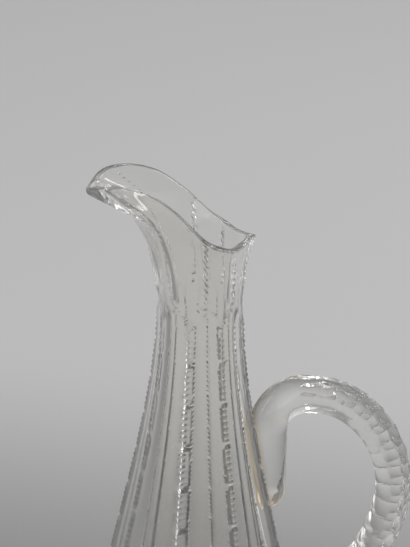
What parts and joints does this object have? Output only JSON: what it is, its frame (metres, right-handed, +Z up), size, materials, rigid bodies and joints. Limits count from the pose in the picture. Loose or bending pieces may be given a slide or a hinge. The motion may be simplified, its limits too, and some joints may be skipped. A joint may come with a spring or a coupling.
{
  "type": "claret jug",
  "caption": "Tall open-mouthed cut-glass jug with a long pouring lip, fluted tapering body, star-cut foot and a solid applied loop handle",
  "frame": {"origin": "centre of the flat foot, where the jug stands on the table", "axes": "+Z up along the axis of the body; the pouring lip points to -X and the handle stands out to +X; +Y is across the jug"},
  "size_m": [0.1575, 0.1026, 0.3003],
  "materials": {
    "body_glass": "clear lead glass, hollow cut and polished",
    "handle_glass": "clear lead glass, solid, scale cut on its outer side and polished"
  },
  "bodies": {
    "root": {"vessel": "body_glass", "handle": "handle_glass"}
  },
  "joints": []
}
